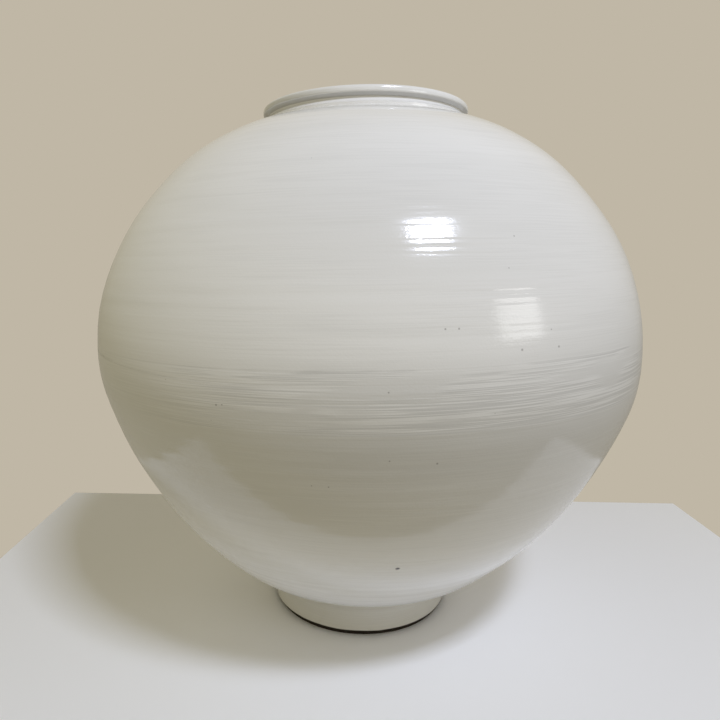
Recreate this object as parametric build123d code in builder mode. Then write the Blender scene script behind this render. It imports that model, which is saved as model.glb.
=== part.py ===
from build123d import *

import os
from math import acos, cos, degrees, pi, radians, sin

os.makedirs("parts", exist_ok=True)

# A large white porcelain jar, as round as a full moon. It is too wide to throw in one go, so it
# is thrown as two deep bowls that are luted rim to rim at the belly, and then gets a foot ring
# below and a mouth collar above. Each joint is a film of slip. +Z is up, the origin is the
# middle of the face that the foot stands on, and the front faces -Y.
# Lengths are in millimetres, turns and leans in degrees.

# Both bowls meet at the belly with the same radius and the same wall.
belly_radius = 230.0
wall = 9.0

# Upper bowl: from the belly the skin turns inwards in arcs, whose radii are shares of the belly's,
# and a last arc carries it to the seat of the collar. The bowl sank a little to the left in the kiln.
upper_flank_share = 0.817
upper_flank_turn = 33.3
upper_shoulder_share = 1.122
upper_shoulder_turn = 10.6
collar_seat_radius = 90.0
collar_seat_turn = 75.0
upper_lean = 2.8

# Lower bowl: the same way, down to the seat of the foot ring. It stands upright.
lower_flank_share = 0.53
lower_flank_turn = 17.0
lower_side_share = 1.426
lower_side_turn = 32.0
lower_heel_share = 0.348
lower_heel_turn = 16.0
foot_seat_radius = 86.0
foot_seat_turn = 77.0
floor_turn_radius = 60.0

# Foot ring: an upright wall, a cove out to the bowl, and a steep bevel that the glaze stops above.
foot_seat_height = 36.5
foot_step = 5.0
foot_wall = 13.0
foot_upright = 23.5
foot_cove = 22.0
foot_bevel = 3.0
foot_bevel_height = 4.5
foot_edge = 1.0

# Mouth collar: a cove up from the shoulder, a narrow groove, and a lip rolled out over it, whose
# underside slopes back in to the groove.
collar_height = 13.5
neck_step = 5.5
neck_wall = 6.5
neck_height = 5.0
neck_cove = 9.0
collar_edge = 0.8
groove_height = 1.0
lip_overhang = 3.5
lip_face = 5.0
lip_round = 3.0
lip_bevel = 1.5

# Waist joint: the lower rim has a shallow groove all round, and the upper rim a ridge that
# sits in it. Inside, the seam is scraped to an even band, and a coil of clay is pressed into it.
slip = 1.0
groove_depth = 2.5
groove_half_width = 3.0
coil_height = 14.0
coil_thickness = 4.0
coil_slope = 3.0
scrape_depth = 0.8

# How far the tools that cut the clay run past it.
overrun = 5.0


def skin_arcs(flanks, seat_radius, seat_turn):
    """The arcs from the belly to a seat, as radius and turn, and how far along the axis they go."""
    turned, reach, depth = 0, belly_radius, 0
    for radius, turn in flanks:
        reach -= radius * (cos(turned) - cos(turned + turn))
        depth += radius * (sin(turned + turn) - sin(turned))
        turned += turn
    last = (reach - seat_radius) / (cos(turned) - cos(seat_turn))
    depth += last * (sin(seat_turn) - sin(turned))
    return flanks + [(last, seat_turn - turned)], depth


def cap_arc(cap_radius, seat_turn, inset, end_radius):
    """The arc of the round cap past the seat, up to where it comes within end_radius of the axis."""
    return (cap_radius, acos(end_radius / (cap_radius - inset)) - seat_turn)


def draw_skin(arcs, inset):
    """Draws tangent arcs that leave the belly upright, set in from the outer skin. Gives their end."""
    place, heading = (belly_radius - inset, 0), (0, 1)
    for radius, turn in arcs:
        arc = JernArc(start=place, tangent=heading, radius=radius - inset, arc_size=degrees(turn))
        place, heading = arc @ 1, arc % 1
    return place


def waist_line(height, outside, inside):
    """The line of the waist joint through the wall: level, with the groove in the middle."""
    middle = belly_radius - wall / 2
    return [
        (outside, height),
        (middle + groove_half_width, height),
        (middle, height - groove_depth),
        (middle - groove_half_width, height),
        (inside, height),
    ]


# Places that follow from the sizes. The caps are the spheres that each bowl would close with.
collar_turn = radians(collar_seat_turn)
upper_arcs, upper_depth = skin_arcs(
    [
        (belly_radius * upper_flank_share, radians(upper_flank_turn)),
        (belly_radius * upper_shoulder_share, radians(upper_shoulder_turn)),
    ],
    collar_seat_radius,
    collar_turn,
)
foot_turn = radians(foot_seat_turn)
lower_arcs, lower_depth = skin_arcs(
    [
        (belly_radius * lower_flank_share, radians(lower_flank_turn)),
        (belly_radius * lower_side_share, radians(lower_side_turn)),
        (belly_radius * lower_heel_share, radians(lower_heel_turn)),
    ],
    foot_seat_radius,
    foot_turn,
)
upper_cap = collar_seat_radius / cos(collar_turn)
lower_cap = foot_seat_radius / cos(foot_turn)
lower_cap_height = foot_seat_height + lower_cap * sin(foot_turn)
waist_height = foot_seat_height + lower_depth
neck_radius = collar_seat_radius - neck_step
mouth_radius = neck_radius - neck_wall
foot_radius = foot_seat_radius - foot_step
foot_bore = foot_radius - foot_wall
inner_radius = belly_radius - wall
scraped_radius = inner_radius + scrape_depth
lean = radians(upper_lean)
skirt = belly_radius * sin(lean) + groove_depth + slip + overrun

# Each bowl is drawn on a plane through its own axis, with the waist at zero and its local Y
# pointing away from the waist. The upper plane leans, the lower one is upright.
waist_centre = (0, 0, waist_height)
upper_section = Plane(waist_centre, x_dir=(cos(lean), 0, sin(lean)), z_dir=(0, -1, 0))
lower_section = Plane(waist_centre, x_dir=(1, 0, 0), z_dir=(0, 1, 0))
upper_axis = Axis(waist_centre, (-sin(lean), 0, cos(lean)))

# Lower bowl: an even wall down to the foot's seat. Inside it runs out into a level floor, and
# the base inside the foot ring is turned flat.
with BuildPart() as lower_bowl:
    with BuildSketch(lower_section):
        with BuildLine():
            base_edge = draw_skin(lower_arcs + [cap_arc(lower_cap, foot_turn, 0, foot_bore)], 0)
            floor_arc = (floor_turn_radius + wall, pi / 2 - foot_turn)
            floor_edge = draw_skin(lower_arcs + [floor_arc], wall)
            Polyline(base_edge, (0, base_edge.Y), (0, floor_edge.Y), floor_edge)
            Polyline((belly_radius, 0), (belly_radius, -skirt), (inner_radius, -skirt), (inner_radius, 0))
        make_face()
    revolve(axis=Axis.Z)
    with BuildSketch(Plane.XZ):
        with BuildLine():
            rim = waist_line(waist_height - slip / 2, belly_radius + overrun, 0)
            above = waist_height + skirt + overrun
            Polyline(*rim, (0, above), (belly_radius + overrun, above), close=True)
        make_face()
    revolve(axis=Axis.Z, mode=Mode.SUBTRACT)
    with Locations(waist_centre):
        Cylinder(scraped_radius, coil_height, mode=Mode.SUBTRACT)
lower_bowl.part.label = "lower_bowl"
export_step(lower_bowl.part, "parts/lower_bowl.step")

# Upper bowl: thrown the same way and turned over. Its rim is dressed level, so the lean is all
# in the wall, and the mouth is cut out with a seat that is square to the leaning axis.
with BuildPart() as upper_bowl:
    with BuildSketch(upper_section):
        with BuildLine():
            seat_edge = draw_skin(upper_arcs, 0)
            mouth_cap = cap_arc(upper_cap, collar_turn, wall, mouth_radius)
            mouth_edge = draw_skin(upper_arcs + [mouth_cap], wall)
            Polyline(seat_edge, (mouth_radius, seat_edge.Y), mouth_edge)
            Polyline((belly_radius, 0), (belly_radius, -skirt), (inner_radius, -skirt), (inner_radius, 0))
        make_face()
    revolve(axis=upper_axis)
    with BuildSketch(Plane.XZ):
        with BuildLine():
            rim = waist_line(waist_height + slip / 2, belly_radius + overrun, 0)
            below = waist_height - skirt * 2
            Polyline(*rim, (0, below), (belly_radius + overrun, below), close=True)
        make_face()
    revolve(axis=Axis.Z, mode=Mode.SUBTRACT)
    with Locations(waist_centre):
        Cylinder(scraped_radius, coil_height, mode=Mode.SUBTRACT)
upper_bowl.part.label = "upper_bowl"
export_step(upper_bowl.part, "parts/upper_bowl.step")

# Waist slip: the film that fills the joint, groove and all, flush with the wall.
with BuildPart() as waist_slip:
    with BuildSketch(Plane.XZ):
        with BuildLine():
            lower_face = waist_line(waist_height - slip / 2, belly_radius, scraped_radius)
            upper_face = waist_line(waist_height + slip / 2, belly_radius, scraped_radius)
            Polyline(*lower_face, *reversed(upper_face), close=True)
        make_face()
    revolve(axis=Axis.Z)
waist_slip.part.label = "waist_slip"
export_step(waist_slip.part, "parts/waist_slip.step")

# Seam coil: it fills the scraped band and stands proud inside, pressed flat with sloping sides.
with BuildPart() as seam_coil:
    with BuildSketch(Plane.XZ):
        with BuildLine():
            coil_low = waist_height - coil_height / 2
            coil_high = waist_height + coil_height / 2
            Polyline(
                (scraped_radius, coil_low),
                (inner_radius, coil_low),
                (inner_radius - coil_thickness, coil_low + coil_slope),
                (inner_radius - coil_thickness, coil_high - coil_slope),
                (inner_radius, coil_high),
                (scraped_radius, coil_high),
                close=True,
            )
        make_face()
    revolve(axis=Axis.Z)
seam_coil.part.label = "seam_coil"
export_step(seam_coil.part, "parts/seam_coil.step")

# Foot ring: its top is scribed to the round underside of the bowl, less the slip. The ring
# ends in a thin upright edge where the cove meets the bowl.
seat_face = lower_cap + slip
edge_top = lower_cap_height - (seat_face**2 - foot_seat_radius**2) ** 0.5
with BuildPart() as foot_ring:
    with BuildSketch(Plane.XZ):
        with BuildLine():
            Polyline(
                (foot_radius, foot_upright),
                (foot_radius, foot_bevel_height),
                (foot_radius - foot_bevel, 0),
                (foot_bore + foot_bevel, 0),
                (foot_bore, foot_bevel_height),
                (foot_bore, foot_seat_height),
                (foot_seat_radius, foot_seat_height),
                (foot_seat_radius, edge_top - foot_edge),
            )
            RadiusArc((foot_radius, foot_upright), (foot_seat_radius, edge_top - foot_edge), foot_cove)
        make_face()
    revolve(axis=Axis.Z)
    with Locations((0, 0, lower_cap_height)):
        Sphere(seat_face, mode=Mode.SUBTRACT)
foot_ring.part.label = "foot_ring"
export_step(foot_ring.part, "parts/foot_ring.step")

# Foot slip: the film between the foot ring and the bowl.
with BuildPart() as foot_slip:
    with BuildSketch(Plane.XY.offset(foot_upright)):
        Circle(foot_seat_radius)
        Circle(foot_bore, mode=Mode.SUBTRACT)
    extrude(amount=foot_seat_height)
    with Locations((0, 0, lower_cap_height)):
        Sphere(seat_face, mode=Mode.INTERSECT)
        Sphere(lower_cap, mode=Mode.SUBTRACT)
foot_slip.part.label = "foot_slip"
export_step(foot_slip.part, "parts/foot_slip.step")

# Collar slip: a flat ring of it on the seat that is cut round the mouth.
collar_seat = Plane(upper_section.from_local_coords((0, upper_depth)), z_dir=upper_axis.direction)
with BuildPart() as collar_slip:
    with BuildSketch(collar_seat):
        Circle(collar_seat_radius)
        Circle(mouth_radius, mode=Mode.SUBTRACT)
    extrude(amount=slip)
collar_slip.part.label = "collar_slip"
export_step(collar_slip.part, "parts/collar_slip.step")

# Mouth collar: drawn on the leaning plane, from its foot on the slip up to the rolled lip.
collar_foot = upper_depth + slip
collar_top = collar_foot + collar_height
neck_top = collar_foot + neck_height
lip_radius = neck_radius + lip_overhang
with BuildPart() as mouth_collar:
    with BuildSketch(upper_section):
        with BuildLine():
            Polyline(
                (collar_seat_radius, collar_foot + collar_edge),
                (collar_seat_radius, collar_foot),
                (mouth_radius, collar_foot),
                (mouth_radius, collar_top - lip_bevel),
                (mouth_radius + lip_bevel, collar_top),
                (lip_radius, collar_top),
                (lip_radius, collar_top - lip_face),
                (neck_radius, neck_top + groove_height),
                (neck_radius, neck_top),
            )
            RadiusArc((collar_seat_radius, collar_foot + collar_edge), (neck_radius, neck_top), neck_cove)
        make_face()
    revolve(axis=upper_axis)
    top_edges = mouth_collar.edges().filter_by(GeomType.CIRCLE).group_by(upper_axis)[-1]
    fillet(top_edges.sort_by(SortBy.RADIUS)[-1], radius=lip_round)
mouth_collar.part.label = "mouth_collar"
export_step(mouth_collar.part, "parts/mouth_collar.step")

lip_height = waist_height + collar_top * cos(lean)
floor_thickness = base_edge.Y - floor_edge.Y
print(f"height {lip_height:.1f}, belly {belly_radius * 2:.1f} across at {waist_height:.1f}")
print(f"mouth {mouth_radius * 2:.1f} wide, foot {foot_radius * 2:.1f} across")
print(f"floor {floor_thickness:.1f} thick, {waist_height - floor_edge.Y:.1f} above the ground")
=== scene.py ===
# %% [markdown]
# # A white porcelain moon jar
#
# The real jar is a great round pot of white porcelain, too wide to throw in one go. The potter
# throws two deep bowls, lutes them rim to rim at the belly with slip, presses a coil of clay over
# the seam inside, and adds a foot ring and a mouth collar. A clear, slightly grey glaze covers
# all of it but the edge that it stands on.
#
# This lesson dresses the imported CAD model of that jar. The CAD gives every piece its place and
# size. Here each piece is modelled again, finely enough to carry what the potter's hands left on
# it: throwing rings, scraped lines round the belly, a slightly uneven wall and specks of iron.
#
# First the frame is loaded, and its box is kept, so that the dressed jar can be set against it.

from math import acos, asin, copysign, cos, degrees, pi, radians, sin, tan

import bmesh
import bpy
import numpy as np
from mathutils import Matrix, Vector


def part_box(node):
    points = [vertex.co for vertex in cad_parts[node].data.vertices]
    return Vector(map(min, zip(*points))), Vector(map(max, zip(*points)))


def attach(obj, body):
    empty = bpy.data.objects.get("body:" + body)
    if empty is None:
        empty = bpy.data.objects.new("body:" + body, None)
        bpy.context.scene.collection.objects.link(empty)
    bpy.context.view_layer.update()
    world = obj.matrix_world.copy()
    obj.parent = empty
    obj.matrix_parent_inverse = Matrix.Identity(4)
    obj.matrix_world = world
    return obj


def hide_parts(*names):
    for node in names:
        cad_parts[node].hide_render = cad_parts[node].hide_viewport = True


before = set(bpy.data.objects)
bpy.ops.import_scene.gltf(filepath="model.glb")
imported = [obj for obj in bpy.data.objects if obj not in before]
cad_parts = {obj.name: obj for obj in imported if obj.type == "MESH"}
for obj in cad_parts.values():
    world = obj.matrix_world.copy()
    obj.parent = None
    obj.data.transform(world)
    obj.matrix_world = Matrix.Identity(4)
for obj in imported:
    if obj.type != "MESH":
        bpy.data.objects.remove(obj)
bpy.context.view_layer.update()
print("CAD nodes:", ", ".join(sorted(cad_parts)))

# %% [markdown]
# ## The sizes
#
# A thrown pot is a body of revolution, so a few radii, turns and heights say all of it. They are
# the CAD's own sizes, in millimetres times `mm`, because Blender counts in metres. The widest
# radius and the height of the waist are read from the frame, and the rest hangs on those two.

# %% Driving sizes of the jar
mm = 0.001
slip = 1.0 * mm
belly_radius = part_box("lower_bowl")[1].x
waist_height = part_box("waist_slip")[1].z - slip / 2
wall = 9.0 * mm

upper_flank = belly_radius * 0.817
upper_flank_turn = radians(33.3)
upper_shoulder = belly_radius * 1.122
upper_shoulder_turn = radians(10.6)
collar_seat_radius = 90.0 * mm
collar_seat_turn = radians(75.0)
upper_lean = radians(2.8)
lean_start = 6.0 * mm
lean_end = 60.0 * mm

lower_flank = belly_radius * 0.53
lower_flank_turn = radians(17.0)
lower_side = belly_radius * 1.426
lower_side_turn = radians(32.0)
lower_heel = belly_radius * 0.348
lower_heel_turn = radians(16.0)
foot_seat_radius = 86.0 * mm
foot_seat_turn = radians(77.0)
foot_seat_height = 36.5 * mm
floor_turn_radius = 60.0 * mm
print(f"belly {belly_radius * 2:.3f} m across, waist {waist_height:.4f} m up")

# %% Sizes of the rings and joints
foot_radius = foot_seat_radius - 5.0 * mm
foot_bore = foot_radius - 13.0 * mm
foot_upright = 23.5 * mm
foot_cove = 22.0 * mm
foot_bevel = 3.0 * mm
foot_bevel_height = 4.5 * mm
foot_edge = 1.0 * mm

neck_radius = collar_seat_radius - 5.5 * mm
mouth_radius = neck_radius - 6.5 * mm
neck_height = 5.0 * mm
neck_cove = 9.0 * mm
collar_edge = 0.8 * mm
collar_height = 13.5 * mm
groove_height = 1.0 * mm
lip_radius = neck_radius + 3.5 * mm
lip_face = 5.0 * mm
lip_round = 3.0 * mm
lip_bevel = 1.5 * mm

waist_groove_depth = 2.5 * mm
waist_groove_half = 3.0 * mm
inner_radius = belly_radius - wall
scraped_radius = inner_radius + 0.8 * mm
coil_half = 7.0 * mm
coil_thickness = 4.0 * mm
coil_slope = 3.0 * mm

# %% [markdown]
# ## Where each arc ends
#
# Each bowl's skin is a chain of arcs, and each arc starts in the direction in which the one
# before it ended. The last arc has no radius of its own: it has the one that brings the skin to
# the seat of the collar or foot at the right turn. Past the seat the skin goes on as a sphere
# whose middle lies on the axis.

# %% The chain of arcs of each bowl
def skin_arcs(arcs, seat_radius, seat_turn):
    """The arcs from the belly to a seat, as radius and turn, and the seat's depth from the waist."""
    turned, reach, depth = 0, belly_radius, 0
    for radius, turn in arcs:
        reach -= radius * (cos(turned) - cos(turned + turn))
        depth += radius * (sin(turned + turn) - sin(turned))
        turned += turn
    last = (reach - seat_radius) / (cos(turned) - cos(seat_turn))
    depth += last * (sin(seat_turn) - sin(turned))
    return arcs + [(last, seat_turn - turned)], depth


upper_arcs, upper_depth = skin_arcs(
    [(upper_flank, upper_flank_turn), (upper_shoulder, upper_shoulder_turn)],
    collar_seat_radius,
    collar_seat_turn,
)
lower_arcs, lower_depth = skin_arcs(
    [(lower_flank, lower_flank_turn), (lower_side, lower_side_turn), (lower_heel, lower_heel_turn)],
    foot_seat_radius,
    foot_seat_turn,
)
upper_cap = collar_seat_radius / cos(collar_seat_turn)
lower_cap = foot_seat_radius / cos(foot_seat_turn)
lower_cap_height = foot_seat_height + lower_cap * sin(foot_seat_turn)
collar_foot = upper_depth + slip
print(f"upper seat {upper_depth:.4f} m above the waist, lower seat {lower_depth:.4f} m below it")

# %% [markdown]
# ## Drawing a section with a turning vertex
#
# A potter's rib draws a profile by moving one point. A bmesh can do the same: `spin` turns a
# single vertex about the middle of an arc and leaves a row of edges behind it. So a section is
# drawn in the XZ plane by arcs and straight runs, and a second `spin` turns it round the axis.
# This keeps every ring of vertices level, which is what the fine rings on the skin need later.
#
# Each vertex also gets two marks of its own. `side` says whether it is on the outer skin (1), on
# the inner one (-1) or in a joint (0), and `run` is how far along the skin it is from the waist.

# %% The profile pen
class Pen:
    """Draws a section from one vertex. It turns towards the axis where a turn is positive."""

    def __init__(self, mesh, radius, height, heading=0.0, side=0.0, run=0.0):
        self.mesh = mesh
        layers = mesh.verts.layers.float
        self.side_layer = layers.get("side") or layers.new("side")
        self.run_layer = layers.get("run") or layers.new("run")
        self.vert = self.first = mesh.verts.new((radius, 0, height))
        self.heading = heading
        self.side = side
        self.run = run
        self.mark([self.vert], 0.0)

    def mark(self, verts, step):
        """Writes the marks of new vertices, which lie a step apart."""
        for number, vert in enumerate(verts, start=1):
            vert[self.side_layer] = self.side
            vert[self.run_layer] = self.run + step * number

    def arc(self, radius, turn, spacing):
        """Runs along an arc. The heading is 0 straight up and grows towards the axis."""
        steps = max(1, round(abs(radius * turn) / spacing))
        inwards = Vector((-cos(self.heading), 0, -sin(self.heading)))
        centre = self.vert.co + inwards * copysign(radius, turn)
        before = len(self.mesh.verts)
        bmesh.ops.spin(
            self.mesh, geom=[self.vert], cent=centre, axis=(0, -1, 0), angle=turn, steps=steps,
            use_merge=False,
        )
        self.mesh.verts.ensure_lookup_table()
        made = self.mesh.verts[before:]
        step = abs(radius * turn) / steps
        self.mark(made, step)
        self.run += step * steps
        self.vert = made[-1]
        self.heading += turn

    def to(self, radius, height, spacing=1.0):
        """Runs straight to a place."""
        offset = Vector((radius, 0, height)) - self.vert.co
        steps = max(1, round(offset.length / spacing))
        for _ in range(steps):
            made = bmesh.ops.extrude_vert_indiv(self.mesh, verts=[self.vert])["verts"]
            bmesh.ops.translate(self.mesh, verts=made, vec=offset / steps)
            self.vert = made[0]
            self.mark(made, 0.0)

    def close(self, vert=None):
        """Joins the pen's last vertex to its first one, or to another."""
        self.mesh.edges.new((self.vert, self.first if vert is None else vert))


# %% [markdown]
# ## Turning the section
#
# `spin` with `use_merge` closes the ring where the last copy meets the first. Vertices on the axis
# come out once per step, so doubles are merged, and only then are the normals recalculated,
# because a spun shell can come out inside out. Edges that turn sharply are marked, so that smooth
# shading stops there.

# %% Spin a section into a piece
ring_steps = 240
sharp_turn = radians(32)
merge_distance = 0.002 * mm


def turn_round(mesh):
    """Spins the drawn section once round the axis and closes it."""
    bmesh.ops.spin(
        mesh, geom=mesh.verts[:] + mesh.edges[:], cent=(0, 0, 0), axis=(0, 0, 1), angle=2 * pi,
        steps=ring_steps, use_merge=True,
    )
    bmesh.ops.remove_doubles(mesh, verts=mesh.verts, dist=merge_distance)
    bmesh.ops.recalc_face_normals(mesh, faces=mesh.faces)
    for face in mesh.faces:
        face.smooth = True
    for edge in mesh.edges:
        edge.smooth = edge.calc_face_angle(0) < sharp_turn


# %% [markdown]
# ## What the wheel left on the wall
#
# Nothing thrown is smooth. The fingers leave rings a centimetre apart that climb as a slow
# spiral, and under them the wall swells and dips by half a millimetre. A glossy glaze shows all of
# it, because a mirror doubles every slope.
#
# So they are real geometry. The swells and rings are small sets of waves along the skin. A wave
# has its own spacing and phase, it may climb by one turn, and it fades in and out round the jar.
# All draws come from one seeded generator, and every piece reads the same ones, so that the
# marks run unbroken over the joints.

# %% Waves along the skin
draws = np.random.default_rng(11)


def draw_waves(count, shortest, longest, climbs):
    """Draws a set of waves with spacings between two lengths."""
    return [
        {
            "spacing": draws.uniform(shortest, longest),
            "phase": draws.uniform(0, 2 * pi),
            "climb": int(draws.integers(-climbs, climbs + 1)),
            "swells": int(draws.integers(1, 6)),
            "swell_phase": draws.uniform(0, 2 * pi),
        }
        for _ in range(count)
    ]


def ease(value):
    """Goes smoothly from 0 to 1 as the value does."""
    value = np.clip(value, 0, 1)
    return value * value * (3 - 2 * value)


def height_of(waves, run, angle):
    """How high the waves stand at each place, about 1 at most of the time."""
    total = np.zeros_like(run)
    for wave in waves:
        fade = 0.5 + 0.5 * np.sin(wave["swells"] * angle + wave["swell_phase"])
        total += fade * np.sin(2 * pi * run / wave["spacing"] + wave["climb"] * angle + wave["phase"])
    return total / len(waves) ** 0.5


swells = draw_waves(4, 60 * mm, 120 * mm, 1)
rings = draw_waves(6, 8 * mm, 15 * mm, 1)
inner_rings = draw_waves(5, 12 * mm, 20 * mm, 1)
swell_depth = 0.25 * mm
ring_depth = 0.035 * mm
inner_ring_depth = 0.25 * mm
seat_fade = 8.0 * mm
print("waves:", len(swells), "swells,", len(rings), "rings")

# %% [markdown]
# ## What the rib and the scraper left
#
# A rib held against the turning wall leaves lines that start and stop. Each one is a groove with
# its burr beside it, and has a place on the skin, a reach round the jar, a width, a depth and a
# small climb. They lie thickly in the band round the waist that was scraped level after luting,
# but for a stretch left of the front that was wiped, and thinly on the rest. Two small groups
# ripple the two reflections on the front. Two long ridges mark where the scraper's edges ran.

# %% One line and many
line_climb = 1.2 * mm
line_edge = 2.5
line_peak = 2.3


def draw_scrapes(count, low, high, width, depth, reach, sector=(-pi, pi)):
    """Draws level lines between two heights along the skin and two angles round it."""
    return [
        {
            "run": draws.uniform(low, high),
            "angle": draws.uniform(*sector),
            "reach": draws.uniform(*reach),
            "width": draws.uniform(*width),
            "depth": draws.normal(0, depth),
            "climb": draws.normal(0, line_climb),
        }
        for _ in range(count)
    ]


def scraper_ridge(run, angle, reach, depth):
    """The long line that one edge of the scraper left."""
    return {"run": run, "angle": angle, "reach": reach, "width": 0.5 * mm, "depth": depth, "climb": 0}


def scrapes_at(scrapes, run, angle):
    """How far the lines lift or sink the skin at each place."""
    total = np.zeros_like(run)
    for scrape in scrapes:
        along = (angle - scrape["angle"] + pi) % (2 * pi) - pi
        across = (run - scrape["run"] - scrape["climb"] * along) / scrape["width"]
        there = (np.abs(across) < line_edge) & (np.abs(along) < scrape["reach"])
        end = ease(2 - 2 * np.abs(along[there]) / scrape["reach"])
        profile = line_peak * across[there] * np.exp(-across[there] ** 2)
        total[there] += scrape["depth"] * end * profile
    return total


# %% Where the lines lie, how wide they are and how far they reach
scraped_low, scraped_high = -22.0 * mm, 14.0 * mm
shoulder_low, shoulder_high = 120 * mm, 260 * mm
base_low = -200 * mm
panel_low, panel_high = 78 * mm, 114 * mm
window_low, window_high = 30 * mm, 64 * mm

hair_width = (0.34 * mm, 0.46 * mm)
ripple_width = (0.7 * mm, 0.9 * mm)
rib_width = (0.8 * mm, 1.1 * mm)
finger_width = (1.5 * mm, 2.4 * mm)

front = -pi / 2
past_the_wiped = (front - 0.55, front + 2 * pi - 1.45)
across_the_front = (front - 0.5, front + 0.1)
in_the_panel = (front, front + 0.3)
in_the_window = (front + 0.22, front + 0.55)

# %% Draw the lines
scrapes = [
    *draw_scrapes(
        340, scraped_low, scraped_high, hair_width, 0.0085 * mm, (0.10, 0.45), past_the_wiped
    ),
    *draw_scrapes(
        70, scraped_low, scraped_high, hair_width, 0.013 * mm, (0.10, 0.30), across_the_front
    ),
    *draw_scrapes(380, scraped_high, shoulder_low, rib_width, 0.0055 * mm, (0.10, 0.5)),
    *draw_scrapes(200, base_low, scraped_low, finger_width, 0.010 * mm, (0.15, 0.6)),
    *draw_scrapes(160, shoulder_low, shoulder_high, finger_width, 0.010 * mm, (0.15, 0.6)),
    *draw_scrapes(60, panel_low, panel_high, ripple_width, 0.022 * mm, (0.08, 0.25), in_the_panel),
    *draw_scrapes(70, window_low, window_high, ripple_width, 0.024 * mm, (0.06, 0.20), in_the_window),
    scraper_ridge(scraped_high, front - 0.10, 0.8, 0.020 * mm),
    scraper_ridge(scraped_low, front - 0.05, 0.7, 0.024 * mm),
]
print("lines:", len(scrapes))

# %% [markdown]
# ## Laying the marks on the skin
#
# The soft wall tilted in the kiln after all this was done, so the marks lean with the upper bowl.
# Below the waist they come level over 150 mm. So each vertex first gets the run that it had on
# the wheel, and its marks are read there. They fade out at the seats, where the collar and foot
# meet the bowls, and the inner skin has only the deep rings of the fingers.

# %% Marks of the wheel
tilt_reach = 150.0 * mm


def tilted(run, angle):
    """The run as the marks have it. They lean with the upper bowl, also where the mesh doesn't yet."""
    above = 1 - ease((run - lean_start) / (lean_end - lean_start))
    below = ease(1 + run / tilt_reach)
    return run - tan(upper_lean) * np.where(run > 0, above, below) * belly_radius * np.cos(angle)


def wheel_marks(run, angle, side, seat_run):
    """How far each vertex moves along its normal. It is nothing in a joint or at a seat."""
    marked = tilted(run, angle)
    outer = swell_depth * height_of(swells, marked, angle)
    outer += ring_depth * height_of(rings, marked, angle)
    outer += scrapes_at(scrapes, marked, angle)
    inner = inner_ring_depth * height_of(inner_rings, run, angle)
    free = ease((seat_run - np.abs(run)) / seat_fade)
    return free * np.where(side > 0.5, outer, np.where(side < -0.5, inner, 0))


# %% [markdown]
# ## The lean of the upper bowl
#
# In the kiln the upper bowl sank a little to the left, so its axis leans by a few degrees. The CAD
# cuts a leaning bowl level at the waist. Here the lean grows over the first few centimetres
# above the waist instead, which moves the skin by a fifth of a millimetre at most, and keeps the
# rings level where they cross the joint.

# %% Place the pieces of the upper half
def place_upper(points):
    """Leans points drawn on the jar's axis about the middle of the waist, and lifts them there."""
    lean = upper_lean * ease((points[:, 2] - lean_start) / (lean_end - lean_start))
    x, z = points[:, 0].copy(), points[:, 2].copy()
    points[:, 0] = x * np.cos(lean) - z * np.sin(lean)
    points[:, 2] = z * np.cos(lean) + x * np.sin(lean) + waist_height
    return points


def place_lower(points):
    """Turns points drawn downwards from the waist the right way up."""
    points[:, 2] = waist_height - points[:, 2]
    return points


# %% [markdown]
# ## Finishing a piece
#
# The same last steps serve every piece: the section is turned, its mesh becomes an object, the skin
# gets the wheel's marks, the piece is put in place in its own vertices and hung on the jar's body, and
# the CAD node that it stands for is hidden.

# %% From section to finished piece
def read_all(items, kind, width):
    """Reads a number or vector of every item as the rows of an array."""
    values = np.empty(len(items) * width, dtype=np.float32)
    items.foreach_get(kind, values)
    return values.astype(float).reshape(-1, width)


def new_object(name, data):
    """Makes an object of a mesh, lamp or camera and links it to the scene."""
    made = bpy.data.objects.new(name, data)
    bpy.context.scene.collection.objects.link(made)
    return made


def finish_piece(section, node, place, seat_run, upwards=1):
    """Turns a section into an object, marks and places it, and hides the CAD node that it stands for.
    """
    turn_round(section)
    mesh = bpy.data.meshes.new(node + "_look")
    section.to_mesh(mesh)
    section.free()
    points, normals = (read_all(mesh.vertices, kind, 3) for kind in ("co", "normal"))
    side, run = (read_all(mesh.attributes[name].data, "value", 1)[:, 0] for name in ("side", "run"))
    angle = np.arctan2(points[:, 1], points[:, 0])
    points += normals * wheel_marks(run * upwards, angle, side, seat_run)[:, None]
    mesh.vertices.foreach_set("co", place(points).ravel())
    if upwards < 0:
        mesh.flip_normals()
    for name in ("side", "run"):
        mesh.attributes.remove(mesh.attributes[name])
    mesh.update()
    piece = new_object(node + "_look", mesh)
    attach(piece, "root")
    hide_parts(node)
    triangles = sum(len(polygon.vertices) - 2 for polygon in mesh.polygons)
    cad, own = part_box(node), [Vector(corner) for corner in piece.bound_box]
    off = max(max(abs(own[0][i] - cad[0][i]), abs(own[6][i] - cad[1][i])) for i in range(3))
    print(f"{node}: {triangles} triangles, box within {off / mm:.2f} mm of the CAD's")
    return piece


# %% [markdown]
# ## The lower bowl
#
# The bowl is drawn downwards from the waist and turned over at the end. Its rim has a shallow
# groove that the upper bowl's ridge sits in. The rings are closest in the scraped band, where
# the lines are finest, wider down the wall, and wider still inside, where only the mouth lets a
# little light in.

# %% Spacing of the rings of vertices
finest = 0.33 * mm
band_shift = 6.0 * mm
fine = 0.6 * mm
medium = 1.3 * mm
coarse = 5.0 * mm


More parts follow.
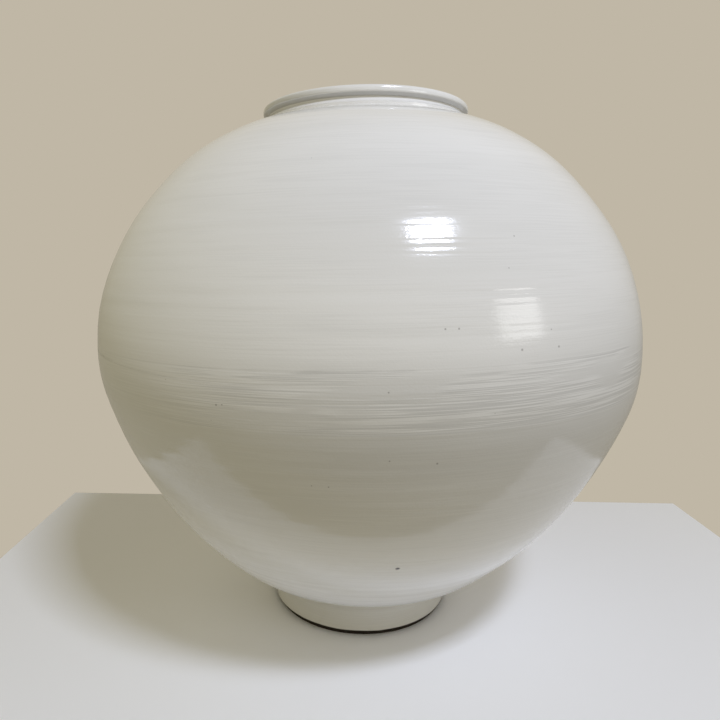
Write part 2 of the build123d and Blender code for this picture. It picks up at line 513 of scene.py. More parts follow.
def draw_skin(section, arcs, inset, side, start_height, spacings, band=None):
    """Draws a skin from just past the waist to the end of its arcs, and gives its pen."""
    first_radius, first_turn = arcs[0]
    radius = first_radius - inset
    start = asin(start_height / radius)
    reach = belly_radius - inset - radius * (1 - cos(start))
    pen = Pen(section, reach, start_height, heading=start, side=side, run=start_height)
    if band:
        pen.arc(radius, asin(band / radius) - start, finest)
    pen.arc(radius, first_turn - pen.heading, spacings[0])
    for (arc_radius, turn), spacing in zip(arcs[1:], spacings[1:]):
        pen.arc(arc_radius - inset, turn, spacing)
    return pen


def draw_rim(section, skin_vert, inner_vert, height, groove):
    """Draws the joint face from the outer skin to the scraped band, and down it to the inner skin."""
    middle = belly_radius - wall / 2
    pen = Pen(section, middle + waist_groove_half, height)
    section.edges.new((skin_vert, pen.vert))
    pen.to(middle, height + groove)
    pen.to(middle - waist_groove_half, height)
    pen.to(scraped_radius, height)
    pen.to(scraped_radius, coil_half)
    pen.close(inner_vert)


# %% Lower bowl
section = bmesh.new()
outer = draw_skin(
    section, lower_arcs, inset=0, side=1, start_height=slip / 2,
    spacings=[fine, medium, medium, medium], band=-scraped_low + band_shift,
)
lower_seat_run = outer.run
outer.side = 0
base_turn = acos(foot_bore / lower_cap) - foot_seat_turn
outer.arc(lower_cap, base_turn, coarse)
outer.to(0, outer.vert.co.z, coarse)
inner = draw_skin(
    section, lower_arcs, inset=wall, side=-1, start_height=coil_half, spacings=[coarse] * 4
)
inner.side = 0
inner.arc(floor_turn_radius, pi / 2 - foot_seat_turn, coarse)
inner.to(0, inner.vert.co.z, coarse)
inner.close(outer.vert)
draw_rim(section, outer.first, inner.first, slip / 2, waist_groove_depth)
lower_bowl = finish_piece(section, "lower_bowl", place_lower, lower_seat_run, upwards=-1)

# %% [markdown]
# ## The upper bowl
#
# It is thrown like the lower one and turned over, so it is drawn upwards with the same pen. It
# ends in a flat seat for the collar, and the mouth is cut straight through to the inner skin.

# %% Upper bowl
section = bmesh.new()
outer = draw_skin(
    section, upper_arcs, inset=0, side=1, start_height=slip / 2,
    spacings=[fine * 1.2, medium, medium], band=scraped_high + band_shift,
)
upper_seat_run = outer.run
outer.side = 0
outer.to(mouth_radius, outer.vert.co.z, coarse)
inner = draw_skin(
    section, upper_arcs, inset=wall, side=-1, start_height=coil_half, spacings=[coarse] * 3
)
inner.side = 0
mouth_turn = acos(mouth_radius / (upper_cap - wall)) - collar_seat_turn
inner.arc(upper_cap - wall, mouth_turn, coarse)
inner.close(outer.vert)
draw_rim(section, outer.first, inner.first, slip / 2, -waist_groove_depth)
upper_bowl = finish_piece(section, "upper_bowl", place_upper, upper_seat_run)

# %% [markdown]
# ## The slip in the waist
#
# The film of slip fills the joint, groove and all. Its outer edge lies in the skin, so it gets
# the same marks as the bowls on both sides of it.

# %% Waist slip
section = bmesh.new()
middle = belly_radius - wall / 2
pen = Pen(section, belly_radius, -slip / 2, side=1, run=-slip / 2)
pen.run = slip / 2
pen.to(belly_radius, slip / 2)
pen.side = 0
pen.to(middle + waist_groove_half, slip / 2)
pen.to(middle, slip / 2 - waist_groove_depth)
pen.to(middle - waist_groove_half, slip / 2)
pen.to(scraped_radius, slip / 2)
pen.to(scraped_radius, -slip / 2)
pen.to(middle - waist_groove_half, -slip / 2)
pen.to(middle, -slip / 2 - waist_groove_depth)
pen.to(middle + waist_groove_half, -slip / 2)
pen.close()
waist_slip = finish_piece(section, "waist_slip", place_upper, lower_seat_run)

# %% [markdown]
# ## The coil inside the seam
#
# A coil of soft clay is pressed over the seam from inside, through the mouth, and wiped flat. Its
# corners are rounded with `bevel`, as a wet finger leaves them.

# %% Seam coil
def soften(mesh, geom, size, segments, affect="VERTICES"):
    """Rounds corners of a section, or edges of a solid."""
    bmesh.ops.bevel(
        mesh, geom=geom, offset=size, affect=affect, segments=segments, profile=0.5, material=-1
    )


section = bmesh.new()
pen = Pen(section, scraped_radius, -coil_half)
pen.to(inner_radius, -coil_half)
pen.to(inner_radius - coil_thickness, -coil_half + coil_slope)
pen.to(inner_radius - coil_thickness, coil_half - coil_slope)
pen.to(inner_radius, coil_half)
pen.to(scraped_radius, coil_half)
pen.close()
proud = [vert for vert in section.verts if vert.co.x < inner_radius - coil_thickness / 2]
soften(section, proud, coil_slope / 2, 4)
seam_coil = finish_piece(section, "seam_coil", place_upper, lower_seat_run)

# %% [markdown]
# ## The foot ring
#
# The ring is trimmed from a thick coil: an upright wall, a cove out to the bowl above, a narrow
# bevel at the floor that the glaze stops short of, and a top that is scribed to the bowl's round
# underside with room for the slip.

# %% Foot ring
seat_face = lower_cap + slip
edge_top = lower_cap_height - (seat_face**2 - foot_seat_radius**2) ** 0.5
rise = edge_top - foot_edge - foot_upright
step_out = foot_seat_radius - foot_radius
cove_chord = (rise**2 + step_out**2) ** 0.5
cove_turn = 2 * asin(cove_chord / 2 / foot_cove)
cove_heading = asin(-step_out / cove_chord) + cove_turn / 2

section = bmesh.new()
pen = Pen(section, foot_radius, foot_bevel_height)
pen.to(foot_radius, foot_upright, medium)
pen.heading = cove_heading
pen.arc(foot_cove, -cove_turn, fine)
pen.to(foot_seat_radius, edge_top)
scribe_turn = asin(foot_seat_radius / seat_face) - asin(foot_bore / seat_face)
pen.heading = pi / 2 + asin(foot_seat_radius / seat_face)
pen.arc(seat_face, -scribe_turn, coarse)
pen.to(foot_bore, foot_bevel_height, medium * 2)
pen.to(foot_bore + foot_bevel, 0)
pen.to(foot_radius - foot_bevel, 0, medium)
pen.close()
print(f"foot: scribed top ends {abs(pen.vert.co.x - foot_radius + foot_bevel) / mm:.3f} mm off")


def place_foot(points):
    """The foot is drawn where it stands."""
    return points


foot_ring = finish_piece(section, "foot_ring", place_foot, lower_seat_run)

# %% Foot slip
section = bmesh.new()
pen = Pen(section, foot_seat_radius, edge_top, heading=pi / 2 + asin(foot_seat_radius / seat_face))
pen.arc(seat_face, -scribe_turn, coarse)
film_turn = asin(foot_seat_radius / lower_cap) - asin(foot_bore / lower_cap)
slip_bore_top = lower_cap_height - (lower_cap**2 - foot_bore**2) ** 0.5
pen.to(foot_bore, slip_bore_top)
pen.heading = -pi / 2 + asin(foot_bore / lower_cap)
pen.arc(lower_cap, film_turn, coarse)
pen.close()
foot_slip = finish_piece(section, "foot_slip", place_foot, lower_seat_run)

# %% [markdown]
# ## The mouth collar
#
# The collar is thrown last, on the luted jar: a short neck that coves up from the shoulder, a
# narrow groove, and a lip rolled outwards over it. Its section is drawn with straight runs and
# one cove. Then `bevel` on single vertices rounds the corners, as the potter's leather strap does.

# %% Collar slip
section = bmesh.new()
pen = Pen(section, collar_seat_radius, upper_depth)
pen.to(collar_seat_radius, collar_foot)
pen.to(mouth_radius, collar_foot, coarse)
pen.to(mouth_radius, upper_depth)
pen.to(collar_seat_radius - medium, upper_depth, coarse)
pen.close()
collar_slip = finish_piece(section, "collar_slip", place_upper, upper_seat_run)

# %% Mouth collar
collar_top = collar_foot + collar_height
neck_top = collar_foot + neck_height
neck_drop = neck_height - collar_edge
neck_step = collar_seat_radius - neck_radius
neck_chord = (neck_drop**2 + neck_step**2) ** 0.5
neck_turn = 2 * asin(neck_chord / 2 / neck_cove)

section = bmesh.new()
pen = Pen(section, collar_seat_radius, collar_foot)
pen.to(collar_seat_radius, collar_foot + collar_edge)
pen.heading = asin(neck_step / neck_chord) + neck_turn / 2
pen.arc(neck_cove, -neck_turn, fine)
pen.to(neck_radius, neck_top + groove_height)
pen.to(lip_radius, collar_top - lip_face)
lip_low = pen.vert
pen.to(lip_radius, collar_top)
lip_outer = pen.vert
pen.to(mouth_radius, collar_top)
lip_inner = pen.vert
pen.to(mouth_radius, collar_foot, medium)
pen.close()
for corner, size in ((lip_low, lip_bevel / 2), (lip_outer, lip_round), (lip_inner, lip_bevel * 1.5)):
    soften(section, [corner], size, 7)
mouth_collar = finish_piece(section, "mouth_collar", place_upper, upper_seat_run)

# %% [markdown]
# ## Building a glaze from nodes
#
# Small helpers keep the node code short. One adds a node with its settings and one joins two
# sockets. The others make noise, map a range, mix colours and do sums. A number that is the same
# all over the piece is set on the shader's own socket.

# %% Node helpers
def add(tree, kind, inputs=None, **settings):
    """Adds a node, gives it settings and unlinked inputs, and returns it."""
    node = tree.nodes.new(kind)
    for name, value in settings.items():
        setattr(node, name, value)
    for socket, value in (inputs or {}).items():
        node.inputs[socket].default_value = value
    return node


def join(tree, source, target):
    """Links an output to an input."""
    tree.links.new(source, target)


def stretched_noise(tree, place, level_size, upright_size, detail=3.0, roughness=0.6):
    """Noise whose features are long round the jar and thin up its wall."""
    squeeze = add(
        tree, "ShaderNodeMapping",
        {"Scale": (1 / level_size, 1 / level_size, 1 / upright_size)},
    )
    noise = add(tree, "ShaderNodeTexNoise", {"Scale": 1.0, "Detail": detail, "Roughness": roughness})
    join(tree, place, squeeze.inputs["Vector"])
    join(tree, squeeze.outputs["Vector"], noise.inputs["Vector"])
    return noise.outputs["Fac"]


def between(tree, value, low, high, to_low=0.0, to_high=1.0, smooth=True):
    """Maps a range of a value onto another, and stops at its ends."""
    node = add(
        tree, "ShaderNodeMapRange",
        {"From Min": low, "From Max": high, "To Min": to_low, "To Max": to_high},
        interpolation_type="SMOOTHSTEP" if smooth else "LINEAR",
    )
    join(tree, value, node.inputs["Value"])
    return node.outputs["Result"]


def blend(tree, factor, first, second):
    """Mixes two colours, which may be sockets or plain values."""
    node = add(tree, "ShaderNodeMix", data_type="RGBA")
    join(tree, factor, node.inputs["Factor"])
    for socket, value in ((node.inputs[6], first), (node.inputs[7], second)):
        if isinstance(value, tuple):
            socket.default_value = (*value, 1)
        else:
            join(tree, value, socket)
    return node.outputs[2]


def combine(tree, operation, first, second):
    """Does one sum on two values, which may be sockets or numbers."""
    node = add(tree, "ShaderNodeMath", operation=operation)
    for socket, value in ((node.inputs[0], first), (node.inputs[1], second)):
        if isinstance(value, (int, float)):
            socket.default_value = value
        else:
            join(tree, value, socket)
    return node.outputs["Value"]


def times(tree, first, second):
    """Multiplies two values."""
    return combine(tree, "MULTIPLY", first, second)


# %% [markdown]
# ## Specks of iron
#
# Washed clay still holds a few grains of iron, and each burns to a small brown dot under the
# glaze. The ones that show on the front are put where they are. Each is a distance from a point
# of the wall, with a soft edge. Many smaller ones come from a Voronoi texture: its cells are far
# larger than the dots, and a dot shows only where a cell's middle happens to lie in the skin.

# %% Larger specks: place from the middle of the waist, and radius, in millimetres
iron_specks = [
    (22.6, -177.4, -129.0, 1.8),
    (-90.8, -210.6, -12.6, 0.8),
    (-87.0, -212.3, -12.0, 0.6),
    (39.4, -222.8, 37.9, 0.7),
    (47.2, -221.2, 38.2, 0.7),
    (85.8, -211.5, 26.3, 0.9),
    (110.7, -199.5, 27.4, 0.9),
    (105.0, -200.6, 37.6, 0.6),
    (9.1, -229.8, 2.4, 0.6),
    (39.5, -219.5, -40.9, 0.8),
    (11.6, -223.3, -39.1, 0.6),
    (-23.3, -215.3, -59.0, 0.6),
    (-33.5, -213.9, -59.1, 0.5),
    (81.4, -190.2, 91.2, 0.6),
    (77.1, -201.6, 72.5, 0.5),
]
large_speck = 1.0
faint_strength = 0.45
small_speck_cells = 30 * mm


def speck_mask(tree, place):
    """Is 1 in the middle of each speck and 0 away from them."""
    mask = 0.0
    for *spot, radius in iron_specks:
        strength = 1.0 if radius > large_speck else faint_strength
        away = add(tree, "ShaderNodeVectorMath", operation="DISTANCE")
        join(tree, place, away.inputs[0])
        away.inputs[1].default_value = Vector(spot) * mm + Vector((0, 0, waist_height))
        dot = between(tree, away.outputs["Value"], radius * 0.4 * mm, radius * 1.2 * mm, strength, 0.0)
        mask = combine(tree, "MAXIMUM", dot, mask)
    cells = add(tree, "ShaderNodeTexVoronoi", {"Scale": 1 / small_speck_cells, "Randomness": 1.0})
    join(tree, place, cells.inputs["Vector"])
    small = between(tree, cells.outputs["Distance"], 0.006, 0.016, 0.4, 0.0)
    return combine(tree, "MAXIMUM", small, mask)


# %% [markdown]
# ## The colours of the glaze
#
# The glaze is clear and glossy, and the porcelain under it is white with a faint grey warmth. The belly
# under its widest ring and the foot are painted greyer, as painted shade, and a few wide soft grey
# patches darken the front; the two at the waist are painted shade too. The base is painted a cold
# white, as painted light that the white block bounces up. Where the glaze is thick, as in a groove, it
# looks greyer, and where it is thin, milkier. At the foot it ends in a narrow bare edge painted nearly
# black, partly dark clay and partly painted contact shadow, and the face that the jar stands on is
# rubbed to a sandy brown.

# %% Colours
white_body = (0.845, 0.838, 0.812)
# Painted shade: the belly under its widest ring is painted this darker grey.
waist_shade_grey = (0.680, 0.668, 0.630)
# Grey of the soft patches on the front; at the waist they are painted shade.
patch_grey = (0.600, 0.592, 0.568)
# Painted light: the base is painted whiter and cooler, standing in for light that the white block
# bounces up onto it.
painted_bounce_white = (0.925, 0.935, 0.960)
# Painted shade: the foot under the belly is painted this darker grey.
foot_shade_grey = (0.645, 0.634, 0.590)
grey_streak = (0.700, 0.695, 0.665)
milk_streak = (0.870, 0.862, 0.835)
pooled_grey = (0.560, 0.555, 0.535)
# Painted shade under the lip and down its left side.
painted_lip_grey = (0.480, 0.474, 0.455)
iron_brown = (0.045, 0.030, 0.020)
# Nearly black: dark bare clay, and painted contact shadow where the foot meets the block.
dark_clay_and_contact_shade = (0.012, 0.009, 0.007)
gritty_clay_and_contact_shade = (0.045, 0.033, 0.024)
rubbed_clay = (0.250, 0.180, 0.118)

# %% Grey patches, the two at the waist painted shade: middle from the middle of the waist and size, in millimetres, and strength
front_grey_patches = [
    ((65, -205, -22), (190, 200, 55), 0.62),
    ((5, -215, -36), (78, 120, 38), 0.38),
    ((55, -195, 95), (200, 200, 65), 0.32),
    ((150, -160, 22), (90, 120, 55), 0.30),
]


def patch_mask(tree, place, middle, size, strength):
    """Is the strength in the middle of a soft patch and fades to nothing at its edge."""
    shrink = add(tree, "ShaderNodeMapping", {"Scale": [1 / (part * mm) for part in size]})
    join(tree, place, shrink.inputs["Vector"])
    away = add(tree, "ShaderNodeVectorMath", operation="DISTANCE")
    join(tree, shrink.outputs["Vector"], away.inputs[0])
    lift = (0, 0, waist_height / mm)
    away.inputs[1].default_value = [(part + up) / whole for part, up, whole in zip(middle, lift, size)]
    return between(tree, away.outputs["Value"], 0.2, 1.0, strength, 0.0)


# %% [markdown]
# ## Patterns that were thrown
#
# Streaks and hair lines follow the wheel, so they are noises that are long round the jar and thin
# up its wall, and they lean with the marks in the mesh. The same places serve every pattern, so
# they are worked out once for each material. The band is where the scraper passed, and the hair
# lines show in patches, least on the left, where the wall was wiped.

# %% Places and patterns of one material
streak_size = (90 * mm, 2.4 * mm)
cloud_size = (160 * mm, 22 * mm)
hair_size = (50 * mm, 0.6 * mm)
patch_size = (60 * mm, 12 * mm)


class Places:
    """Where a point of the glaze lies, and the patterns that the wheel left there."""

    def __init__(self, tree):
        self.spot = add(tree, "ShaderNodeTexCoord").outputs["Object"]
        apart = add(tree, "ShaderNodeSeparateXYZ")
        join(tree, self.spot, apart.inputs["Vector"])
        self.x, y, self.height = apart.outputs
        lean = between(tree, self.height, waist_height - tilt_reach, waist_height, 0.0, tan(upper_lean))
        level = combine(tree, "SUBTRACT", self.height, times(tree, self.x, lean))
        self.from_waist = combine(tree, "SUBTRACT", level, waist_height)
        thrown = add(tree, "ShaderNodeCombineXYZ")
        for axis, part in (("X", self.x), ("Y", y), ("Z", level)):
            join(tree, part, thrown.inputs[axis])
        wheel = thrown.outputs["Vector"]
        self.streaks = stretched_noise(tree, wheel, *streak_size, detail=4.0, roughness=0.65)
        self.clouds = stretched_noise(tree, wheel, *cloud_size, detail=2.0, roughness=0.5)
        self.hair = stretched_noise(tree, wheel, *hair_size, detail=0.0, roughness=0.5)

        above = between(tree, self.from_waist, scraped_low - 4 * mm, scraped_low + 1 * mm)
        below = between(tree, self.from_waist, scraped_high - 1 * mm, scraped_high + 2 * mm, 1.0, 0.0)
        self.band = times(tree, below, above)
        wiped = between(tree, self.x, -150 * mm, -70 * mm, 0.25, 1.0)
        patches = stretched_noise(tree, wheel, *patch_size, detail=2.0, roughness=0.5)
        self.patches = times(tree, between(tree, patches, 0.36, 0.54), wiped)


# %% [markdown]
# ## Layers of colour
#
# The colour is built up in layers: the painted shade on the belly and the painted bounce light on the
# base first, with edges that the streaks make ragged, then the grey patches, the streaks, and the hair
# lines with the scraper's two ridges. Most of what a hair line shows is glaze that is thicker or
# thinner, so it is a change of colour here, and only a little of it is bump.

# %% Painted shade and bounce light of the body, between heights from the waist
shade_fades_up = (-17 * mm, 35 * mm)
shade_fades_down = (-125 * mm, -65 * mm)
bounce_light_down = (-108 * mm, -150 * mm)
raggedness = 8 * mm


def body_tones(tree, at, body, gets_bounce_light):
    """Paints shade on the belly under its widest ring, paints bounce light on the base, and adds the
    grey patches.
    """
    ragged = combine(tree, "ADD", at.from_waist, times(tree, at.streaks, raggedness))
    above = between(tree, ragged, *shade_fades_up, 1.0, 0.0)
    grey = times(tree, above, between(tree, ragged, *shade_fades_down))
    # Painted shade on the belly under its widest ring.
    colour = blend(tree, times(tree, grey, 0.9), body, waist_shade_grey)
    if gets_bounce_light:
        # Painted bounce light on the base.
        colour = blend(tree, between(tree, ragged, *bounce_light_down), colour, painted_bounce_white)
    # Soft grey patches on the front, the two at the waist painted shade.
    for patch in front_grey_patches:
        colour = blend(tree, patch_mask(tree, at.spot, *patch), colour, patch_grey)
    return colour


# %% Streaks and lines
def banded(tree, at, weak, extra):
    """A weak strength all over, with some extra in the scraped band."""
    return combine(tree, "ADD", times(tree, at.band, extra), weak)


def streak_tones(tree, at, colour):
    """Adds clouds, and streaks that are strongest in the scraped band."""
    weight = banded(tree, at, weak=0.16, extra=0.14)
    cloudy = times(tree, between(tree, at.clouds, 0.5, 0.75), 0.25)
    dark = times(tree, between(tree, at.streaks, 0.52, 0.72), weight)
    milky = times(tree, between(tree, at.streaks, 0.46, 0.30), weight)
    colour = blend(tree, cloudy, colour, grey_streak)
    colour = blend(tree, dark, colour, grey_streak)
    return blend(tree, milky, colour, milk_streak)


def line_tones(tree, at, colour):
    """Adds the rib's hair lines and the scraper's two ridges."""
    lines = times(tree, at.patches, banded(tree, at, weak=0.08, extra=0.40))
    thick = times(tree, between(tree, at.hair, 0.50, 0.60), lines)
    thin = times(tree, between(tree, at.hair, 0.50, 0.40), lines)
    colour = blend(tree, thick, colour, pooled_grey)
    colour = blend(tree, thin, colour, milk_streak)
    for ridge in (scraped_high, scraped_low):
        away = combine(tree, "SUBTRACT", at.from_waist, ridge - 0.5 * mm)
        away = combine(tree, "ABSOLUTE", away, 0.0)
        line = times(tree, between(tree, away, 0.3 * mm, 0.8 * mm, 0.45, 0.0), at.patches)
        colour = blend(tree, line, colour, pooled_grey)
    return colour


# %% [markdown]
# ## The lip and the foot
#
# The groove under the lip, and the lip's left side, are painted grey: painted shade. The lip leans with
# the bowl, so heights there are measured along the leaning axis. The foot's glaze was wiped off before
# firing, along a line that wanders by a millimetre, and its bare edge is painted nearly black, partly
# dark clay and partly painted contact shadow. Bare clay is gritty, rough and hardly shines, so it also
# takes the gloss and the specular level down.

# %% Painted shade under the lip
shade_edge = 0.6 * mm


def shade_the_lip(tree, at, levels, colour):
    """Paints shade between two heights under the lip, and less of it up its left side."""
    low, high, top = levels
    from_axis = add(tree, "ShaderNodeVectorMath", operation="DOT_PRODUCT")
    join(tree, at.spot, from_axis.inputs[0])
    from_axis.inputs[1].default_value = (-sin(upper_lean), 0.0, cos(upper_lean))
    along = combine(tree, "SUBTRACT", from_axis.outputs["Value"], waist_height * cos(upper_lean))
    shade = times(
        tree, between(tree, along, low - shade_edge, low, 0.0, 0.85),
        between(tree, along, high, high + 0.8 * mm, 1.0, 0.0),
    )
    left_side_shade = times(
        tree, between(tree, at.x, -15 * mm, -80 * mm, 0.0, 0.5),
        between(tree, along, low - shade_edge, low),
    )
    below_top = between(tree, along, top - 2.5 * mm, top - 0.5 * mm, 1.0, 0.0)
    shade = combine(tree, "MAXIMUM", shade, times(tree, left_side_shade, below_top))
    return blend(tree, shade, colour, painted_lip_grey)


# %% Bare edge of the foot
glaze_end = foot_bevel_height + 0.4 * mm
grit_size = 0.9 * mm
wander_size = 25 * mm
bare_roughness = 0.75


def bare_edge(tree, at, end, shader, colour, gloss):
    """Ends the glaze at a height, paints the bare edge nearly black as dark clay with painted contact
    shadow, and links the dull shine of clay. Gives colour and roughness.
    """
    grit = add(tree, "ShaderNodeTexNoise", {"Scale": 1 / grit_size, "Detail": 4.0, "Roughness": 0.7})
    join(tree, at.spot, grit.inputs["Vector"])
    wander = stretched_noise(tree, at.spot, wander_size, wander_size)
    edge = combine(tree, "ADD", at.height, times(tree, wander, -1.0 * mm))
    bare = between(tree, edge, end, end - 0.5 * mm)
    # The bare edge is dark clay with painted contact shadow.
    clay = blend(tree, grit.outputs["Fac"], dark_clay_and_contact_shade, gritty_clay_and_contact_shade)
    on_face = between(tree, at.height, 0.02 * mm, 0.2 * mm, 1.0, 0.0)
    rubbed = times(tree, on_face, between(tree, grit.outputs["Fac"], 0.30, 0.60, 0.35, 1.0))
    clay = blend(tree, rubbed, clay, rubbed_clay)
    rough = add(tree, "ShaderNodeMix", data_type="FLOAT")
    join(tree, bare, rough.inputs["Factor"])
    join(tree, gloss, rough.inputs[2])
    rough.inputs[3].default_value = bare_roughness
    join(tree, between(tree, bare, 0, 1, 0.5, 0.05), shader.inputs["Specular IOR Level"])
    return blend(tree, bare, colour, clay), rough.outputs[0]


# %% [markdown]
# ## The glaze itself
#
# A principled shader with a high index of refraction mirrors as strongly as a lead-bright glaze
# does. Its gloss changes as softly as its thickness. The bump adds what is too fine for the mesh:
# a trace of the hair lines, and the soft orange peel of a melted surface.

# %% Relief and material
peel_size = 1.5 * mm
peel_share = 0.3
relief_depth = 0.12 * mm
glaze_roughness = (0.09, 0.15)
glaze_index = 1.7


def glaze_relief(tree, at):
    """Gives the normal of hair lines and orange peel."""
    peel = add(tree, "ShaderNodeTexNoise", {"Scale": 1 / peel_size, "Detail": 1.0})
    join(tree, at.spot, peel.inputs["Vector"])
    weight = combine(tree, "ADD", times(tree, at.patches, 0.12), times(tree, at.band, 0.10))
    hairs = times(tree, at.hair, combine(tree, "ADD", weight, 0.05))
    relief = combine(tree, "ADD", hairs, times(tree, peel.outputs["Fac"], peel_share))
    bump = add(tree, "ShaderNodeBump", {"Strength": 1.0, "Distance": relief_depth})
    join(tree, relief, bump.inputs["Height"])
    return bump.outputs["Normal"]


def jar_glaze(name, body, bare_below=None, lip_shading=None):
    """Makes the glaze. Below a given height the clay is bare, and shade is painted grey under the lip.
    """
    material = bpy.data.materials.new(name)
    material.use_nodes = True
    tree = material.node_tree
    shader = tree.nodes["Principled BSDF"]
    at = Places(tree)
    colour = body_tones(tree, at, body, gets_bounce_light=not bare_below)
    colour = line_tones(tree, at, streak_tones(tree, at, colour))
    if lip_shading:
        colour = shade_the_lip(tree, at, lip_shading, colour)
    colour = blend(tree, speck_mask(tree, at.spot), colour, iron_brown)
    gloss = between(tree, at.clouds, 0.3, 0.7, *glaze_roughness)
    if bare_below:
        colour, gloss = bare_edge(tree, at, bare_below, shader, colour, gloss)
    join(tree, colour, shader.inputs["Base Color"])
    join(tree, gloss, shader.inputs["Roughness"])
    join(tree, glaze_relief(tree, at), shader.inputs["Normal"])
    shader.inputs["IOR"].default_value = glaze_index
    return material


# %% Glaze every piece
# Heights of the painted shade under the lip.
shaded_lip_heights = (neck_top + groove_height, collar_top - lip_face - lip_bevel / 2, collar_top)
glazes = [
    (jar_glaze("jar_glaze", white_body), [lower_bowl, upper_bowl, seam_coil]),
    # The foot's darker grey is painted shade under the belly.
    (jar_glaze("foot_glaze", foot_shade_grey, bare_below=glaze_end), [foot_ring]),
    (jar_glaze("slip_glaze", white_body), [waist_slip, collar_slip, foot_slip]),
    (jar_glaze("collar_glaze", white_body, lip_shading=shaded_lip_heights), [mouth_collar]),
]
for glaze, pieces in glazes:
    for piece in pieces:
        piece.data.materials.append(glaze)
print("materials:", ", ".join(material.name for material in bpy.data.materials))

# %% [markdown]
# ## Where the jar stands
#
# The jar stands on a plain white block, as wide as a gallery plinth. Its pale top is what lights
# the lower belly from below, and its edges are where that light ends. The wall behind is only a
# warm pale colour of the world. The camera sees it plain, while the glaze sees a room: bright
# above, warm behind, and dim in front and below, so that the belly darkens under its widest ring.
# The room is four walls of light that blend at the corners. All have the same levels from floor to
# ceiling, but each has its own tint: warm on the left, and cooler towards a window on the right.

# %% Block under the jar
def stage_block(name, middle, size, turn, colour):
    """Makes a plain block with slightly rounded edges. Its top is level with the origin."""
    mesh = bmesh.new()
    bmesh.ops.create_cube(mesh, size=1.0)
    bmesh.ops.scale(mesh, verts=mesh.verts, vec=Vector(size))
    bmesh.ops.rotate(mesh, verts=mesh.verts, cent=(0, 0, 0), matrix=Matrix.Rotation(turn, 3, "Z"))
    bmesh.ops.translate(mesh, verts=mesh.verts, vec=Vector((*middle, -size[2] / 2)))
    soften(mesh, mesh.edges[:], 1.5 * mm, 3, "EDGES")
    data = bpy.data.meshes.new(name)
    mesh.to_mesh(data)
    mesh.free()
    block = new_object(name, data)
    paint = bpy.data.materials.new(name + "_paint")
    paint.use_nodes = True
    shader = paint.node_tree.nodes["Principled BSDF"]
    shader.inputs["Base Color"].default_value = (*colour, 1)
    shader.inputs["Roughness"].default_value = 0.6
    shader.inputs["Specular IOR Level"].default_value = 0.3
    data.materials.append(paint)
    print(f"{name}: {size[0]:.2f} by {size[1]:.2f} m")


stage_block(
    "block_floor", middle=(35.3 * mm, 10.2 * mm), size=(0.816, 0.443, 0.9), turn=radians(2.35),
    colour=(0.88, 0.88, 0.88),
)

# %% World: plain to the camera, a room to the glaze
wall_colour = (0.527, 0.474, 0.381)
room_tints = {
    "front": (1.167, 1.075, 0.823),
    "right": (1.008, 0.947, 0.800),
    "back": (1.215, 1.104, 0.868),
    "left": (1.176, 1.083, 0.737),
}
room_levels = [
    (-0.45, 0.28), (-0.10, 0.26), (0.05, 0.345), (0.25, 0.42), (0.50, 0.453), (0.80, 0.334), (1.0, 0.1)
]


def room_world():
    """A plain backdrop for the camera, and a room with four walls of light for all other rays."""
    world = bpy.data.worlds.new("room")
    bpy.context.scene.world = world
    world.use_nodes = True
    tree = world.node_tree
    tree.nodes.clear()
    way = add(tree, "ShaderNodeTexCoord").outputs["Generated"]
    apart = add(tree, "ShaderNodeSeparateXYZ")
    join(tree, way, apart.inputs["Vector"])
    x, y, z = apart.outputs

    ramp = add(tree, "ShaderNodeValToRGB")
    stops = ramp.color_ramp.elements
    stops[0].position, stops[0].color = (room_levels[0][0] + 1) / 2, (room_levels[0][1],) * 3 + (1,)
    stops[1].color = (room_levels[-1][1],) * 3 + (1,)
    for height, level in room_levels[1:-1]:
        stops.new((height + 1) / 2).color = (level, level, level, 1)
    join(tree, between(tree, z, -1, 1, smooth=False), ramp.inputs["Fac"])

    across = blend(tree, combine(tree, "LESS_THAN", x, 0.0), room_tints["right"], room_tints["left"])
    along = blend(tree, combine(tree, "LESS_THAN", y, 0.0), room_tints["back"], room_tints["front"])
    square_x, square_y = times(tree, x, x), times(tree, y, y)
    share = combine(tree, "DIVIDE", square_y, combine(tree, "ADD", square_x, square_y))
    tint = blend(tree, share, across, along)

    seen = add(tree, "ShaderNodeLightPath").outputs["Is Camera Ray"]
    background = add(tree, "ShaderNodeBackground")
    join(tree, blend(tree, seen, tint, wall_colour), background.inputs["Color"])
    strength = blend(tree, seen, ramp.outputs["Color"], (1.0, 1.0, 1.0))
    join(tree, strength, background.inputs["Strength"])
    output = add(tree, "ShaderNodeOutputWorld")
    join(tree, background.outputs["Background"], output.inputs["Surface"])


room_world()
print("room:", len(room_tints), "walls,", len(room_levels), "levels")

# %% [markdown]
# ## The lamps
#
# A glossy pot shows its lamps, so their places are read from their reflections. A ray from the
# camera that bounces off the wall at a highlight points at its lamp. The square bright one sits
# high on the right and comes from a ceiling panel. The softer one, low on the right, comes from
# a window, further round and a little above the horizon.

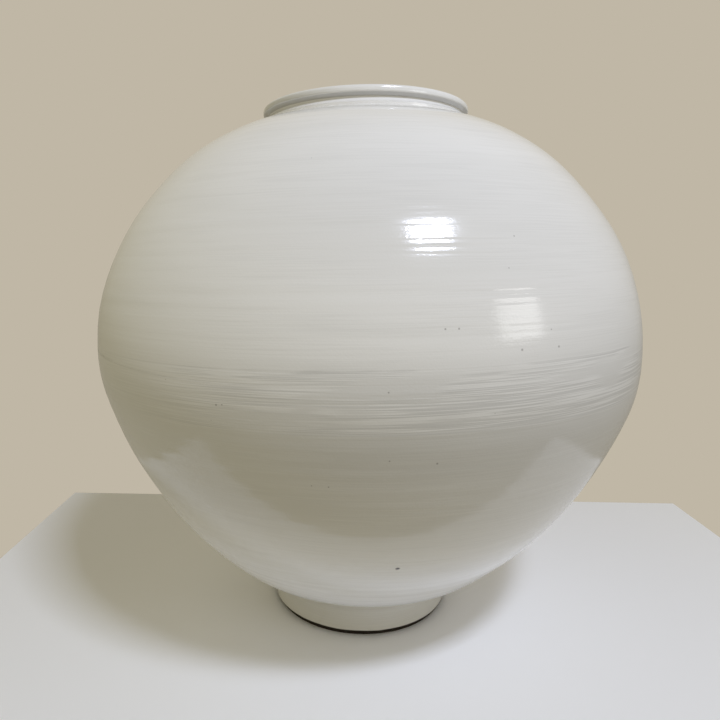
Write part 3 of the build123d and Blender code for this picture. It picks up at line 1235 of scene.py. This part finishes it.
# %% Panel and window
def area_lamp(name, glint, bounce, distance, width, height, radiance, colour):
    """Puts a rectangular lamp where a bounce from a glint on the wall would meet it."""
    lamp = bpy.data.lights.new(name, "AREA")
    lamp.shape = "RECTANGLE"
    lamp.size, lamp.size_y = width, height
    lamp.color = colour
    lamp.energy = radiance * pi * width * height
    way = Vector(bounce).normalized()
    holder = new_object(name, lamp)
    turn = way.to_track_quat("Z", "Y").to_matrix().to_4x4()
    holder.matrix_world = Matrix.Translation(Vector(glint) * mm + way * distance) @ turn
    print(f"{name}: {width:.2f} by {height:.2f} m, {lamp.energy:.1f} W")


area_lamp(
    "ceiling_panel", glint=(29, -205, 334.5), bounce=(0.31, -0.455, 0.835), distance=1.9,
    width=0.41, height=0.22, radiance=88.0, colour=(0.76, 0.82, 1.0),
)
area_lamp(
    "window", glint=(84, -208, 289.5), bounce=(0.83, -0.48, 0.27), distance=2.0,
    width=0.66, height=0.52, radiance=2.4, colour=(1.0, 1.0, 1.0),
)

# %% [markdown]
# ## The camera
#
# The camera's place, tilt and lens were worked out from the jar's outline, lip and foot. It looks
# a little down on the jar from just over half a metre, and it is turned slightly, so that the
# right side of the picture hangs lower.

# %% Camera
camera_place = (-7.3 * mm, -559.8 * mm, 316.8 * mm)
camera_tilt = radians(9.19)
camera_roll = radians(1.95)
focal_share = 611.4 / 720

camera_data = bpy.data.cameras.new("camera")
camera_data.lens = camera_data.sensor_width * focal_share
camera_data.clip_start = 10 * mm
camera = new_object("camera", camera_data)
camera.matrix_world = (
    Matrix.Translation(camera_place)
    @ Matrix.Rotation(pi / 2 - camera_tilt, 4, "X")
    @ Matrix.Rotation(camera_roll, 4, "Z")
)
bpy.context.scene.camera = camera
bpy.context.scene.view_settings.view_transform = "Standard"
print(f"lens {camera_data.lens:.2f} mm, tilt {degrees(camera_tilt):.1f} degrees")

# %% [markdown]
# ## Bringing the scene up to date
#
# Dressing the jar must not change its size, so each piece printed how far its box lies from the CAD's
# when it was finished.

# %% Bring the scene up to date
bpy.context.view_layer.update()
